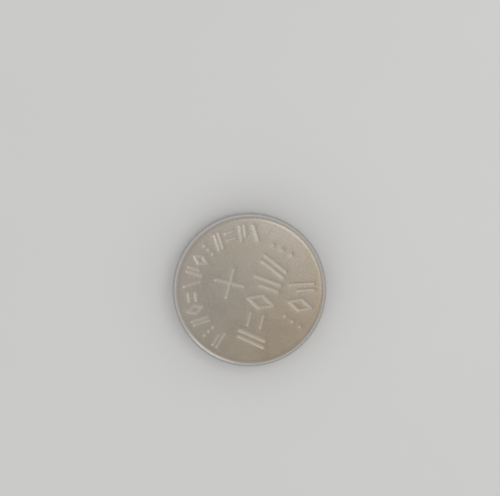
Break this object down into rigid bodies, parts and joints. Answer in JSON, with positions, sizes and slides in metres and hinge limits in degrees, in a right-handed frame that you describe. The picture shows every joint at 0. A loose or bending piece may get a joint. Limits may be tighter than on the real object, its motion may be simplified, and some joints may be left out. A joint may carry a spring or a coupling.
{
  "type": "button cell battery",
  "caption": "Small round silver-oxide watch cell: a nickel-plated can crimped over a seal and a stepped cap, with electrodes and separator inside.",
  "frame": {"origin": "centre of the negative contact face, on which the cell lies", "axes": "+Z along the cell's axis, out of the positive face; X and Y are any two square directions, because the cell is round"},
  "size_m": [0.0094, 0.0094, 0.0016],
  "materials": {
    "can_nickel": "satin nickel plating",
    "cap_nickel": "bright nickel plating",
    "seal_nylon": "moulded nylon",
    "ring_steel": "plated sheet steel",
    "silver_oxide": "pressed powder",
    "barrier": "translucent film",
    "cellophane": "clear film, faintly amber",
    "absorbent": "nonwoven fibre",
    "zinc_gel": "zinc powder in gel"
  },
  "bodies": {
    "root": {"positive_can": "can_nickel", "negative_cap": "cap_nickel", "seal_gasket": "seal_nylon", "support_ring": "ring_steel", "cathode_pellet": "silver_oxide", "barrier_film": "barrier", "separator_film": "cellophane", "absorbent_disc": "absorbent", "zinc_anode": "zinc_gel"}
  },
  "joints": []
}
